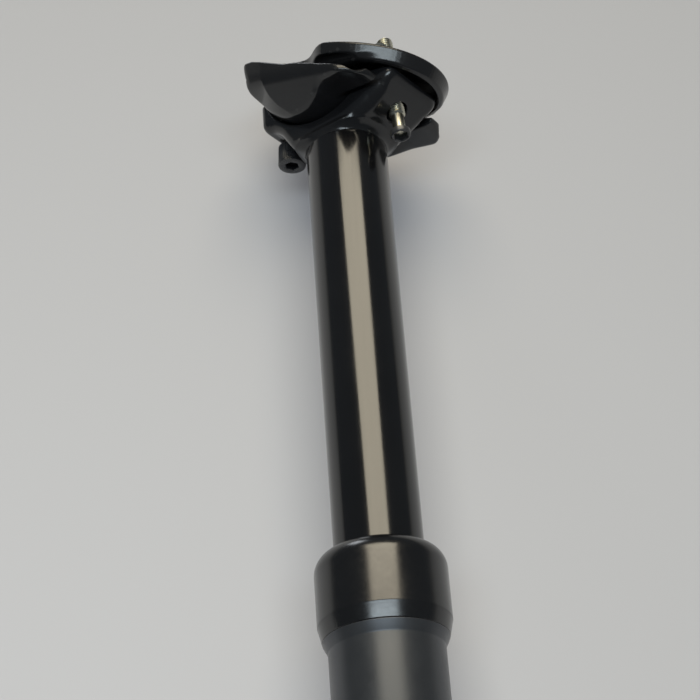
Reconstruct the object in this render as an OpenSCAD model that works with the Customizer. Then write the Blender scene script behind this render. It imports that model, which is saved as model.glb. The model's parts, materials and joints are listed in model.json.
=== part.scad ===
// Dropper seatpost: a sliding tube in an outer tube, a sealed cartridge between them,
// a bottom actuator and a two-bolt tilting saddle clamp. Millimetres.
// Origin: post axis at the top of the plain insertable tube. +Z up the post, +X to the front.

/* [Sliding tube] */
// Gap between the sliding tube and the outer tube's bore
slide_gap = 1.5; // [1.2:0.1:2]
// Wall of the sliding tube
stanchion_wall = 1.6; // [1.2:0.1:2.2]
// Drop from full height to the lowest position
travel = 125; // [75:5:170]
// Sliding tube still showing above the collar when fully dropped
drop_gap = 10.5; // [4:0.5:30]

/* [Outer tube] */
// Outside diameter that goes into the frame
tube_d = 31.6; // [30.4:0.1:34.9]
// Wall of the outer tube
tube_wall = 1.8; // [1.5:0.1:2.4]
// Height of the flared cone under the collar
flare_h = 3; // [2:0.5:6]
// Height of the threaded neck inside the collar
neck_h = 16.5; // [14:0.5:22]

/* [Collar] */
// How far the collar stands out past the tube
collar_proud = 2.5; // [2:0.1:4]
// Height of the collar
collar_h = 24.5; // [23.5:0.5:34]
// Height of the chamfered band at the collar's foot
collar_chamfer_h = 4; // [2:0.5:6]
// How far the foot band is stepped in
collar_chamfer = 1.1; // [0.5:0.1:1.6]
// Height of the rounded shoulder
collar_shoulder_h = 5.5; // [4:0.5:7]
// Gap between the collar's lip and the sliding tube
collar_lip_gap = 0.8; // [0.5:0.1:1.5]

/* [Guides and stops] */
// Height of the upper guide bushing
upper_bushing_h = 30; // [22:1:40]
// Height of the lower guide ring
lower_bushing_h = 12; // [8:0.5:16]
// Height of the anti-rotation keys
key_h = 12; // [8:0.5:18]
// Width of the anti-rotation keys
key_w = 3; // [2:0.1:4]
// How far the keys reach into the outer tube's wall
key_bite = 0.65; // [0.4:0.05:0.8]
// Height of the top-out bumper
top_bumper_h = 3.6; // [2:0.2:6]
// Height of the bottom-out bumper
bottom_bumper_h = 5; // [3:0.5:8]

/* [Cartridge] */
// Wall of the cartridge tube
cartridge_wall = 1.5; // [1:0.1:2]
// Diameter of the cartridge rod
rod_d = 10; // [8:0.5:12]
// Diameter of the release pin inside the rod
valve_pin_d = 3.1; // [2.4:0.1:4]
// Height of the gland that closes the cartridge
gland_h = 15; // [10:1:20]
// Height of the main piston
piston_h = 10; // [8:0.5:14]
// Height of the floating piston
floating_h = 10; // [8:0.5:14]

/* [Actuator] */
// How far the actuator housing is stepped in from the tube
base_step = 0.7; // [0.4:0.1:1.2]
// Height of the actuator housing
base_h = 32; // [30:1:40]
// Length of the plug inside the tube
plug_h = 12; // [8:1:18]
// Lever arm from its pivot to the release pin
lever_pad_arm = 4.5; // [4:0.1:5.5]
// Cable end in from the actuator housing's bore
cable_inset = 3.4; // [3.2:0.1:3.8]
// Thickness of the lever
lever_t = 6; // [4:0.5:7]
// Diameter of the lever's pivot pin
lever_pin_d = 4; // [3:0.1:4.6]
// Diameter of the seat for the cable housing
housing_seat_d = 5; // [4:0.1:5.2]

/* [Head] */
// Height of the clamp's tilt axis above the sliding tube
pivot_rise = 29; // [27.5:0.5:34]
// Radius of the rocking surface under the cradle
rocker_r = 21.3; // [20:0.1:22.4]
// Width of the forged head
head_w = 23; // [18:0.5:26]
// Reach of the front ear from the post axis
ear_front = 28.4; // [25.5:0.1:29]
// Reach of the rear ear from the post axis
ear_rear = 25; // [24.6:0.2:27]
// Top of the front ear's tip above the sliding tube
ear_front_top = 12.4; // [11.6:0.1:12.6]
// Thickness of the front ear's tip
ear_tip_t = 1; // [0.6:0.1:2]
// Top of the rear ear above the sliding tube
ear_rear_top = 23.4; // [21:0.2:24]
// Thickness of the rear ear
ear_rear_t = 9; // [7:0.2:10]
// Diameter of the hole up the middle of the head's spigot
head_bore = 12; // [8:0.5:14]
// Length of the head's spigot inside the sliding tube
spigot_h = 17; // [12:1:19]

/* [Clamp] */
// Tilt of the saddle rails at rest, nose down
clamp_tilt = 18.5; // [12:0.5:20]
// Diameter of the saddle rails
rail_d = 7; // [6.8:0.1:7.4]
// Distance between the two rails
rail_spacing = 44; // [43:0.2:45]
// Rails below the tilt axis
rail_drop = 9.2; // [8.8:0.1:9.8]
// Overall width of the lower cradle
cradle_w = 54; // [53:0.5:58]
// Reach of the cradle's wings ahead of the tilt axis
wing_front = 28.5; // [26.5:0.1:29.5]
// Underside of the cradle's wings below the tilt axis
wing_drop = 15.5; // [14.8:0.1:16]
// Length of the level stretch under the wings
wing_level = 12; // [8:0.5:14]
// Front reach of the upper clamp's visor from its centre
visor_reach = 33.5; // [32.5:0.5:36]
// Overall width of the upper clamp
visor_w = 51.5; // [48.5:0.5:54]
// Visor centre ahead of the tilt axis
visor_ahead = 5.5; // [4:0.5:7]
// Width of the upper clamp's tail
tail_w = 35.8; // [32:0.2:37]
// Reach of the upper clamp's tail behind the tilt axis
tail_reach = 28; // [27.5:0.5:31]
// Height of the upper clamp's rim
rim_h = 4.9; // [4.4:0.1:5.5]
// Width of the hollow under the upper clamp
pocket_w = 34; // [26:0.5:35]
// Start of the cradle's slanted outer faces below the tilt axis
shield_drop = 12.4; // [11.6:0.1:13.4]
// How far the slanted outer faces fall inward, per millimetre down
shield_fall = 1.03; // [0.8:0.01:1.2]

/* [Bolts] */
// Thread diameter of the clamp bolts
bolt_d = 5; // [4:0.1:5.4]
// Lean of both bolts toward each other
bolt_lean = 4.1; // [3:0.1:5]
// Front bolt ahead of the axis, at the height of the tilt axis
bolt_front_x = 18.3; // [17.8:0.1:18.8]
// Rear bolt behind the axis, at the height of the tilt axis
bolt_rear_x = 20; // [19.5:0.1:20.5]
// Length of the front bolt under its head
bolt_front_len = 36.4; // [34:0.2:37]
// Front bolt's end above the height of the tilt axis
bolt_front_end = 5.3; // [4:0.1:7]
// Diameter of the front bolt's low head
front_head_d = 6.4; // [6:0.1:8]
// Height of the front bolt's low head
front_head_h = 1.9; // [1.6:0.1:3]
// Diameter of the rear bolt's cap head
rear_head_d = 8.8; // [7.5:0.1:9.2]
// Height of the rear bolt's cap head
rear_head_h = 7.2; // [5:0.1:8]
// Diameter of the barrel nuts
nut_d = 8; // [7.5:0.1:8.6]
// Length of the barrel nuts
nut_len = 12; // [10:0.5:13]
// Barrel nuts above the tilt axis
nut_rise = 2.5; // [2.2:0.1:3]

/* [Hidden] */
$fn = 72;
eps = 0.01;
// Running clearance between sliding faces, per side
run = 0.05;
// Seat gap between curved faces of different moving pieces
seat_gap = 0.3;
// Gap left at the end stops
stop_gap = 0.4;

// Cuts that go right through reach this far
through = 60;

tube_r = tube_d / 2;
tube_bore = tube_r - tube_wall;
stanchion_r = tube_bore - slide_gap;
stanchion_bore = stanchion_r - stanchion_wall;
bush_step = 0.3;
bush_bore = tube_bore + bush_step;
neck_r = tube_r + 0.2;
neck_top = flare_h + neck_h;
collar_r = tube_r + collar_proud;
collar_foot_r = collar_r - collar_chamfer;
collar_top = flare_h + collar_h;
collar_bore = neck_r + run;
stanchion_top = collar_top + travel + drop_gap;
pivot_z = stanchion_top + pivot_rise;

clip_h = 1.2;
clip_top = neck_top - 2;
clip_bottom = clip_top - clip_h;
upper_bushing_top = clip_bottom - run;
upper_bushing_bottom = upper_bushing_top - upper_bushing_h;
top_bumper_top = upper_bushing_bottom - stop_gap;
key_top = top_bumper_top - top_bumper_h - run;
key_bottom = key_top - key_h;
key_r = tube_bore + key_bite;
groove_r = key_r + 0.15;
lower_bushing_top = key_bottom - 1.5;
lower_bushing_bottom = lower_bushing_top - lower_bushing_h;
foot = lower_bushing_bottom - 2.4;
foot_turned_r = stanchion_r - 0.3;
bottom_bumper_top = foot - travel - stop_gap;
plug_top = bottom_bumper_top - bottom_bumper_h;
tube_bottom = plug_top - plug_h;

cart_r = stanchion_bore - 0.15;
cart_bore = cart_r - cartridge_wall;
rod_r = rod_d / 2;
cart_clip_top = foot + 3.6;
gland_bottom = cart_clip_top + run;
gland_top = gland_bottom + gland_h;
gland_flange_h = 3;
piston_bottom = gland_top + 2;
piston_top = piston_bottom + piston_h;
cart_top = stanchion_top - spigot_h - 2;
cart_crown = 4;
floating_travel = travel * pow(rod_r / cart_bore, 2);
floating_bottom = cart_top - cart_crown - 2 - floating_travel - floating_h;
seal_t = 2;

base_r = tube_r - base_step;
base_wall = 2.2;
base_bore = base_r - base_wall;
base_plate_h = 5;
base_bottom = tube_bottom - base_h;
rod_nut_h = 5;
rod_nut_af = 14;
rod_bottom = tube_bottom - base_plate_h - rod_nut_h - 1;
valve_r = valve_pin_d / 2;
valve_bore = valve_r + 0.1;
valve_bottom = rod_bottom - 3.6;
pad_r = 2.5;
pivot_pin_r = lever_pin_d / 2;
lever_z = valve_bottom - seat_gap - pad_r;
cable_x = base_bore - cable_inset;
housing_seat_depth = 4.5;
lug_h = 6;
lug_half = 3.6;

head_half = head_w / 2;
saddle_r = rocker_r + seat_gap;
// Places on the head's underside from the sliding tube's top, front and rear
belly_front = [[9, 0.6], [16.5, 3.3], [22, 6.2]];
belly_rear = [[-20, 13], [-17, 10], [-14.6, 5.4], [-12.6, 2.2], [-9, 0.6]];
// Where the slopes on top of the head end
saddle_front = [19, 15];
saddle_rear = -15;
bolt_r = bolt_d / 2;
bolt_hole_r = bolt_r + 0.7;
front_head_under = bolt_front_end - bolt_front_len;
rear_seat = -16;
nut_r = nut_d / 2;
nut_front = (nut_rise - bolt_front_x * sin(clamp_tilt)) / cos(clamp_tilt + bolt_lean);
nut_rear = (nut_rise + bolt_rear_x * sin(clamp_tilt)) / cos(clamp_tilt - bolt_lean);
nut_front_u = bolt_front_x * cos(clamp_tilt) - nut_front * sin(clamp_tilt + bolt_lean);
nut_rear_u = -bolt_rear_x * cos(clamp_tilt) - nut_rear * sin(clamp_tilt - bolt_lean);
bolt_rear_end = nut_rear + nut_r + 0.6;

rail_r = rail_d / 2;
rail_v = rail_spacing / 2;
cradle_half = cradle_w / 2;
cradle_top = -rail_drop - 0.3;
deck_fall = 1.3;
// Top of the lips outside the rails: level at the back, then falling to the front
lip_rear_u = -13;
lip_rear = -5;
lip_front_u = 22;
lip_front = -rail_drop - rail_r + 0.3;
rim_bottom = -rail_drop + 2.1;
rim_top = rim_bottom + rim_h;
crown_top = nut_rise - 2.4;
ceiling = rim_bottom + 3.4;
visor_half = visor_w / 2;
tail_half = tail_w / 2;

// A ring standing on z
module ring(outer, inner, z, h) {
    translate([0, 0, z])
        difference() {
            cylinder(r = outer, h = h);
            translate([0, 0, -1]) cylinder(r = inner, h = h + 2);
        }
}

// A cylinder along Y through the middle
module cross_cylinder(r, half) {
    rotate([90, 0, 0]) cylinder(r = r, h = 2 * half, center = true);
}

// A side outline in X and Z, drawn across the width
module side_plate(points, half) {
    translate([0, half, 0]) rotate([90, 0, 0]) linear_extrude(height = 2 * half) polygon(points);
}

// The clamp's own frame: tilted about the tilt axis
module in_clamp() {
    translate([0, 0, pivot_z]) rotate([0, clamp_tilt, 0]) children();
}

// Along the front bolt, zero at the height of the tilt axis
module on_front_bolt() {
    translate([bolt_front_x, 0, pivot_z]) rotate([0, -bolt_lean, 0]) children();
}

// Along the rear bolt, zero at the height of the tilt axis
module on_rear_bolt() {
    translate([-bolt_rear_x, 0, pivot_z]) rotate([0, bolt_lean, 0]) children();
}

// Threaded neck, flare and straight tube in one piece, with grooves for the keys
module outer_tube() {
    color("dimgray")
    difference() {
        rotate_extrude()
            polygon([
                [tube_bore, tube_bottom], [tube_r, tube_bottom], [tube_r, 0],
                [collar_foot_r, flare_h - run], [neck_r, flare_h - run], [neck_r, neck_top],
                [bush_bore, neck_top], [bush_bore, upper_bushing_bottom - run],
                [tube_bore, upper_bushing_bottom - run]
            ]);
        for (a = [60, 180, 300])
            rotate([0, 0, a])
                translate([tube_bore - 1, -key_w / 2 - 0.1, tube_bottom - 1])
                    intersection() {
                        cube([groove_r - tube_bore + 1, key_w + 0.2, upper_bushing_bottom - tube_bottom]);
                        translate([1 - tube_bore, key_w / 2 + 0.1, 0])
                            cylinder(r = groove_r, h = upper_bushing_bottom - tube_bottom);
                    }
        ring(bush_bore + 0.6, bush_bore - 0.5, clip_bottom - run, clip_h + 2 * run);
    }
}

// Screwed collar that holds the wiper seal
module collar() {
    shoulder = collar_top - collar_shoulder_h;
    lip = stanchion_r + collar_lip_gap;
    round_w = collar_r - lip - 0.5;
    seal_seat = neck_top + run;
    color("black")
        rotate_extrude()
            polygon(concat(
                [
                    [collar_bore, flare_h], [collar_foot_r, flare_h],
                    [collar_r - 0.15, flare_h + collar_chamfer_h],
                    [collar_r, flare_h + collar_chamfer_h + 0.4]
                ],
                [for (a = [0 : 9 : 90])
                    [collar_r - round_w * (1 - cos(a)), shoulder + collar_shoulder_h * sin(a)]],
                [
                    [lip, collar_top], [lip, collar_top - 1.5], [collar_bore - 0.35, collar_top - 3.2],
                    [collar_bore - 0.35, seal_seat], [collar_bore, seal_seat]
                ]
            ));
}

// Rubber wiper with two lips on the sliding tube
module wiper_seal() {
    lip = stanchion_r + run;
    bottom = neck_top + 2 * run;
    top = collar_top - 3.3;
    outer = collar_bore - 0.4;
    color("black")
        rotate_extrude()
            polygon([
                [lip + 0.9, bottom], [outer, bottom], [outer, top],
                [stanchion_r + collar_lip_gap - 0.1, collar_top - 1.6],
                [stanchion_r + 0.55, collar_top - 0.4], [lip, collar_top - 0.4], [lip, collar_top - 1],
                [lip + 0.6, collar_top - 2], [lip + 0.6, bottom + 2], [lip, bottom + 1], [lip, bottom + 0.4]
            ]);
}

module upper_bushing() {
    color("tan")
    difference() {
        ring(bush_bore - run, stanchion_r + run, upper_bushing_bottom, upper_bushing_h);
        translate([0, -0.5, upper_bushing_bottom - 1]) cube([through, 1, upper_bushing_h + 2]);
    }
}

// Snap ring over the upper bushing, open at one side
module bushing_clip() {
    color("silver")
    difference() {
        ring(bush_bore + 0.5, stanchion_r + 0.6, clip_bottom, clip_h);
        translate([-through, -3, clip_bottom - 1]) cube([through, 6, clip_h + 2]);
    }
}

module bottom_bumper() {
    color("black") ring(tube_bore - 1, rod_r + seal_t / 2, plug_top, bottom_bumper_h);
}

// Actuator housing screwed into the tube: plug, plate, cup and cable stop lug
module base_cap() {
    color("gray")
    difference() {
        union() {
            translate([0, 0, tube_bottom - base_plate_h])
                cylinder(r = tube_bore - run, h = plug_h + base_plate_h);
            translate([0, 0, base_bottom]) cylinder(r = base_r, h = base_h - run);
        }
        difference() {
            translate([0, 0, base_bottom - 1]) cylinder(r = base_bore, h = base_h - base_plate_h + 1);
            translate([cable_x - lug_half, -lug_half, base_bottom - 2])
                cube([base_r, 2 * lug_half, lug_h + 2]);
        }
        translate([0, 0, base_bottom]) cylinder(r = rod_r + run, h = base_h + plug_h + 1);
        translate([lever_pad_arm, 0, lever_z]) cross_cylinder(pivot_pin_r + 0.02, base_r + 1);
        translate([cable_x, 0, base_bottom - 1])
            cylinder(r = housing_seat_d / 2 + run, h = housing_seat_depth + 1);
        translate([cable_x, 0, base_bottom]) cylinder(r = 0.9, h = lug_h + 1);
        translate([cable_x, -0.7, base_bottom - 1]) cube([base_r, 1.4, lug_h + 2]);
        translate([0, 0, base_bottom + 10]) for (s = [-1, 1])
            translate([-4, s * base_r, 0]) cross_cylinder(3.2, 4);
    }
}

module lever_pin() {
    half = sqrt(pow(base_r, 2) - pow(lever_pad_arm + pivot_pin_r, 2)) - 0.4;
    color("silver") translate([lever_pad_arm, 0, lever_z]) cross_cylinder(pivot_pin_r, half);
}

// Rocking lever: the pad lifts the release pin, the far end takes the cable
module lever() {
    half = lever_t / 2;
    end_r = 2.4;
    end_drop = 2;
    color("gray")
    translate([0, 0, lever_z])
    difference() {
        union() {
            cross_cylinder(pad_r, half);
            translate([lever_pad_arm, 0, 0]) cross_cylinder(pivot_pin_r + 1.8, half);
            translate([cable_x, 0, -end_drop]) cross_cylinder(end_r, half);
            side_plate([
                [0, -pad_r], [0, pad_r - 0.6], [lever_pad_arm, pivot_pin_r + 1],
                [cable_x, end_r - end_drop], [cable_x, -end_drop - end_r],
                [lever_pad_arm, -pivot_pin_r - 1.8]
            ], half);
        }
        translate([lever_pad_arm, 0, 0]) cross_cylinder(pivot_pin_r + run, half + 1);
        translate([cable_x, 0, -end_drop]) cross_cylinder(1.5, half + 1);
        translate([cable_x - 0.8, -0.8, -end_drop - end_r - 1]) cube([end_r + 2, 1.6, end_r + 1]);
    }
}

module valve_pin() {
    color("silver")
        translate([0, 0, valve_bottom]) cylinder(r = valve_r, h = piston_bottom + 5 - valve_bottom);
}

module rod_nut() {
    color("silver")
    translate([0, 0, tube_bottom - base_plate_h - rod_nut_h - 2 * run])
    difference() {
        cylinder(d = rod_nut_af / cos(30), h = rod_nut_h, $fn = 6);
        translate([0, 0, -1]) cylinder(r = rod_r + run, h = rod_nut_h + 2);
    }
}

// Hollow rod fixed in the actuator, with the release pin running inside
module cartridge_rod() {
    color("silver") ring(rod_r, valve_bore, rod_bottom, piston_bottom + 4 - rod_bottom);
}

module main_piston() {
    color("goldenrod")
    difference() {
        translate([0, 0, piston_bottom]) cylinder(r = cart_bore - 0.08, h = piston_h);
        translate([0, 0, piston_bottom - 1]) cylinder(r = rod_r + run, h = 5 + run);
        translate([0, 0, piston_bottom]) cylinder(r = valve_bore, h = piston_h - 1);
        ring(cart_bore + 1, cart_bore - 0.08 - seal_t, piston_top - 5, seal_t + 0.1);
    }
}

module main_piston_seal() {
    color("black") ring(cart_bore - 0.05, cart_bore - 0.03 - seal_t, piston_top - 4.95, seal_t);
}

// Sliding tube, turned down at the foot for the guide ring and pocketed for the keys
module stanchion() {
    color("black")
    difference() {
        rotate_extrude()
            polygon([
                [stanchion_bore, foot], [foot_turned_r, foot], [foot_turned_r, lower_bushing_top + run],
                [stanchion_r, lower_bushing_top + run], [stanchion_r, stanchion_top],
                [stanchion_bore, stanchion_top]
            ]);
        for (a = [60, 180, 300])
            rotate([0, 0, a])
                translate([stanchion_r - 0.95, -key_w / 2 - run, key_bottom - run])
                    cube([3, key_w + 2 * run, key_h + 2 * run]);
        ring(stanchion_bore + 0.7, stanchion_bore - 1, cart_clip_top - 1.5 - run, 1.5 + 2 * run);
    }
}

// Forged head: spigot, short neck, rocking saddle and two bolt ears
module head() {
    neck = stanchion_top;
    rim = 1.8;
    color("black")
    difference() {
        union() {
            translate([0, 0, neck - spigot_h]) cylinder(r = stanchion_bore - run, h = spigot_h + 1);
            intersection() {
                rotate_extrude()
                    polygon(concat([[0, neck]], [for (a = [0 : 15 : 75])
                        [stanchion_r + 2.2 * (1 - cos(a)), neck + 2.2 * sin(a)]], [[0, neck + 2.2]]));
                translate([-through, -stanchion_r, neck - 1])
                    cube([2 * through, 2 * stanchion_r, pivot_rise]);
            }
            intersection() {
                side_plate(head_side(neck), head_half);
                translate([0, 0, neck - 1]) linear_extrude(height = pivot_rise + 1) head_plan();
            }
        }
        translate([0, 0, pivot_z]) {
            cross_cylinder(saddle_r, head_half + 1);
            for (a = [90, -90])
                rotate([a, 0, 0])
                    translate([0, 0, head_half - rim])
                        cylinder(r1 = saddle_r, r2 = saddle_r + 2 * rim, h = 2 * rim);
        }
        on_front_bolt() translate([0, 0, -through]) cylinder(r = bolt_hole_r, h = through);
        on_rear_bolt() {
            translate([0, 0, -through]) cylinder(r = bolt_hole_r, h = 2 * through);
            translate([0, 0, -through]) cylinder(r = rear_head_d / 2 + 0.7, h = through + rear_seat);
        }
        translate([0, 0, neck - spigot_h - 1]) cylinder(d = head_bore, h = spigot_h + 2);
    }
}

// The head from the side: sloping front ear, level rear ear
function head_side(neck) = [
    for (p = concat(
        belly_front,
        [
            [ear_front, ear_front_top - ear_tip_t], [ear_front, ear_front_top], saddle_front,
            [saddle_rear, ear_rear_top], [0.6 - ear_rear, ear_rear_top], [-ear_rear, ear_rear_top - 0.6],
            [-ear_rear, ear_rear_top - ear_rear_t]
        ],
        belly_rear
    )) [p[0], neck + p[1]]
];

// The head from above, rounded at the ears' tips
module head_plan() {
    corner = 4;
    back = 1.5;
    translate([-ear_rear + back, -head_half]) square([ear_rear - back + ear_front - corner, 2 * head_half]);
    translate([-ear_rear, back - head_half]) square([ear_rear, 2 * (head_half - back)]);
    square([2 * ear_front, 2 * (head_half - corner)], center = true);
    for (s = [-1, 1]) {
        translate([ear_front - corner, s * (head_half - corner)]) circle(r = corner);
        translate([back - ear_rear, s * (head_half - back)]) circle(r = back);
    }
}

module top_bumper() {
    color("black") ring(tube_bore - 0.3, stanchion_r + run, top_bumper_top - top_bumper_h, top_bumper_h);
}

// Three brass keys that stop the sliding tube turning
module keys() {
    color("goldenrod")
    for (a = [60, 180, 300])
        rotate([0, 0, a])
            intersection() {
                translate([stanchion_r - 0.9, -key_w / 2, key_bottom])
                    cube([key_r - stanchion_r + 0.9, key_w, key_h]);
                translate([0, 0, key_bottom - 1]) cylinder(r = key_r, h = key_h + 2);
            }
}

module lower_bushing() {
    color("tan")
    difference() {
        ring(tube_bore - run, foot_turned_r + run, lower_bushing_bottom, lower_bushing_h);
        translate([0, -0.5, lower_bushing_bottom - 1]) cube([through, 1, lower_bushing_h + 2]);
    }
}

// Closed cartridge tube fixed in the sliding tube
module cartridge_body() {
    color("gray")
    difference() {
        translate([0, 0, gland_bottom + gland_flange_h + run])
            cylinder(r = cart_r, h = cart_top - gland_bottom - gland_flange_h - run);
        translate([0, 0, gland_bottom - 1])
            cylinder(r = cart_bore, h = cart_top - cart_crown - gland_bottom + 1);
    }
}

// Gland at the cartridge's foot, guiding the rod
module cartridge_gland() {
    color("goldenrod")
    difference() {
        union() {
            translate([0, 0, gland_bottom]) cylinder(r = cart_r, h = gland_flange_h);
            translate([0, 0, gland_bottom]) cylinder(r = cart_bore - run, h = gland_h);
        }
        translate([0, 0, gland_bottom - 1]) cylinder(r = rod_r + run, h = gland_h + 2);
        translate([0, 0, gland_bottom + 6]) cylinder(r = rod_r + seal_t, h = seal_t + 0.2);
    }
}

module rod_seal() {
    color("black") ring(rod_r + seal_t - 0.05, rod_r + 0.04, gland_bottom + 6.1, seal_t);
}

// Snap ring that keeps the cartridge in the sliding tube
module cartridge_clip() {
    color("silver")
    difference() {
        ring(stanchion_bore + 0.6, stanchion_bore - 2.2, cart_clip_top - 1.5, 1.5);
        translate([-through, -3, cart_clip_top - 3]) cube([through, 6, 4]);
    }
}

// Piston that parts oil and gas
module floating_piston() {
    color("goldenrod")
    difference() {
        translate([0, 0, floating_bottom]) cylinder(r = cart_bore - 0.08, h = floating_h);
        translate([0, 0, floating_bottom + 4]) cylinder(r = cart_bore - 4, h = floating_h);
        ring(cart_bore + 1, cart_bore - 0.08 - seal_t, floating_bottom + 1.5, seal_t + 0.1);
    }
}

module floating_seal() {
    color("black") ring(cart_bore - 0.05, cart_bore - 0.03 - seal_t, floating_bottom + 1.55, seal_t);
}

// Half-moon cradle: a barrel about the tilt axis and two wings, cut by the rail grooves and lips
module lower_cradle() {
    color("black")
    in_clamp()
    difference() {
        union() {
            cradle_barrel();
            cradle_wings();
        }
        outside_shields();
        side_plate([
            [-through, cradle_top], [wing_level, cradle_top], [wing_front, cradle_top - deck_fall],
            [through, cradle_top - deck_fall], [through, through], [-through, through]
        ], rail_v);
        for (s = [0, 1])
            mirror([0, s, 0]) {
                translate([0, rail_v + cradle_half, 0])
                    side_plate([
                        [-through, lip_rear], [lip_rear_u, lip_rear], [lip_front_u, lip_front],
                        [through, lip_front], [through, through], [-through, through]
                    ], cradle_half);
                translate([0, rail_v, -rail_drop]) rotate([0, 90, 0])
                    cylinder(r = rail_r, h = 2 * through, center = true);
                translate([-through, rail_v - rail_r, -rail_drop]) cube([2 * through, 2 * rail_r, through]);
            }
        translate([nut_front_u - 1.9, -bolt_r - 0.9, -through])
            cube([through, 2 * bolt_r + 1.8, 2 * through]);
        translate([nut_rear_u + 9.6 - through, -bolt_r - 0.9, -through])
            cube([through, 2 * bolt_r + 1.8, 2 * through]);
    }
}

// The half moon: a barrel with rounded ends
module cradle_barrel() {
    full = cradle_half - 7.5;
    edge = 6;
    rotate([90, 0, 0])
        rotate_extrude()
            polygon(concat(
                [[0, -cradle_half]],
                [for (a = [90 : -15 : 0])
                    [rocker_r - edge * (1 - cos(a)), -full - (cradle_half - full) * sin(a)]],
                [for (a = [0 : 15 : 90])
                    [rocker_r - edge * (1 - cos(a)), full + (cradle_half - full) * sin(a)]],
                [[0, cradle_half]]
            ));
}

// All that lies outside the two slanted faces, which fall inward from the cradle's sides
module outside_shields() {
    for (s = [0, 1])
        mirror([0, s, 0])
            translate([0, cradle_half, -shield_drop])
                rotate([atan(1 / shield_fall) - 180, 0, 0])
                    translate([-through, -through, 0]) cube([2 * through, 2 * through, through]);
}

// Wings that carry the rails past the front of the half moon
module cradle_wings() {
    corner = 12;
    inner = head_half + 1.6;
    wide = cradle_half - inner;
    intersection() {
        side_plate([
            [0, 0], [0, -wing_drop], [wing_level, -wing_drop],
            [(wing_level + wing_front) / 2, 1 - wing_drop],
            [wing_front - 2.5, 2.1 - wing_drop], [wing_front, 3.1 - wing_drop], [wing_front, 0]
        ], cradle_half);
        for (s = [0, 1])
            mirror([0, s, 0])
                translate([0, inner, -through]) linear_extrude(height = 2 * through) {
                    square([wing_front, wide - corner]);
                    square([wing_front - corner, wide]);
                    intersection() {
                        translate([wing_front - corner, wide - corner]) circle(r = corner);
                        square([wing_front, wide]);
                    }
                }
    }
}

// Half of the upper clamp's outline at one inset, from the nose round to the tail
function clamp_half(inset) = let (
    reach = visor_reach - inset,
    wide = visor_half - inset,
    waist = tail_half - inset,
    tail = tail_reach - inset,
    start = acos(8.5 / visor_reach),
    join_u = visor_ahead + reach * cos(start),
    join_v = wide * sin(start),
    waist_u = -1
) concat(
    [for (i = [0 : 12]) [visor_ahead + reach * cos(start * i / 12), wide * sin(start * i / 12)]],
    [for (i = [1 : 6]) [
        join_u + (waist_u - join_u) * i / 6,
        waist + (join_v - waist) * (1 + cos(180 * i / 6)) / 2
    ]],
    [for (i = [1 : 9]) [
        waist_u - (tail + waist_u) * sin(10 * i),
        waist * pow(1 - pow(sin(10 * i), 2.8), 1 / 2.8)
    ]]
);

// The whole outline, mirrored about the middle
module clamp_outline(inset) {
    half = clamp_half(inset);
    last = len(half) - 1;
    polygon(concat(half, [for (i = [last - 1 : -1 : 1]) [half[i][0], -half[i][1]]]));
}

// Upper clamp: visor and tail with a rounded rim, hollow below, nut seats on top
module upper_clamp() {
    color("black")
    in_clamp()
    difference() {
        union() {
            translate([0, 0, rim_bottom]) linear_extrude(height = 1.01) clamp_outline(0.5);
            translate([0, 0, rim_bottom + 1]) linear_extrude(height = rim_h - 2.2) clamp_outline(0);
            translate([0, 0, rim_top - 1.21]) linear_extrude(height = 1.22) clamp_outline(0.7);
            translate([0, 0, rim_top - 0.01]) linear_extrude(height = 1.01) clamp_outline(2.4);
            translate([0, 0, rim_top + 0.99])
                linear_extrude(height = crown_top - rim_top - 0.99) clamp_outline(5);
        }
        translate([0, 0, rim_bottom - 1])
            linear_extrude(height = ceiling - rim_bottom + 1)
                intersection() {
                    clamp_outline(3.2);
                    square([2 * through, pocket_w], center = true);
                }
        for (s = [-1, 1])
            translate([0, s * rail_v, -rail_drop]) rotate([0, 90, 0]) {
                cylinder(r = rail_r, h = 2 * through, center = true);
                translate([0, 0, 24]) cylinder(r1 = rail_r, r2 = rail_r + 4.5, h = 10);
            }
        nut_seat(nut_front_u, 2.4, -4.1, 5.6);
        nut_seat(nut_rear_u, -1, -4.1, 5.6);
    }
}

// Flat-bottomed seat for a barrel nut, with a long slot for its bolt below
module nut_seat(u, shift, slot_back, slot_front) {
    wide = nut_r + 1.4;
    translate([u - wide, -nut_len / 2 - 0.5, nut_rise - nut_r - seat_gap])
        cube([2 * wide, nut_len + 1, through]);
    translate([u + shift + slot_back - 0.9, -bolt_r - 0.6, -through])
        cube([slot_front - slot_back + 0.9, 2 * bolt_r + 1.2, 2 * through]);
}

// Front bolt, part unscrewed, with a low round head
module front_bolt() {
    color("silver")
    on_front_bolt()
    difference() {
        union() {
            translate([0, 0, front_head_under]) cylinder(r = bolt_r, h = bolt_front_len);
            translate([0, 0, front_head_under - front_head_h])
                cylinder(d = front_head_d, h = front_head_h + eps);
        }
        translate([0, 0, front_head_under - front_head_h - 1]) cylinder(d = 4 / cos(30), h = 3, $fn = 6);
    }
}

// Rear bolt with a cap head seated under the rear ear
module rear_bolt() {
    color("black")
    on_rear_bolt()
    difference() {
        union() {
            translate([0, 0, rear_seat - run]) cylinder(r = bolt_r, h = bolt_rear_end - rear_seat + run);
            translate([0, 0, rear_seat - run - rear_head_h])
                cylinder(d = rear_head_d, h = rear_head_h + eps);
        }
        translate([0, 0, rear_seat - run - rear_head_h - 1]) cylinder(d = 4 / cos(30), h = 4, $fn = 6);
    }
}

module barrel_nut() {
    difference() {
        cross_cylinder(nut_r, nut_len / 2);
        cylinder(r = bolt_r + run, h = 3 * nut_r, center = true);
    }
}

module front_nut() {
    color("silver") on_front_bolt() translate([0, 0, nut_front]) barrel_nut();
}

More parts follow.
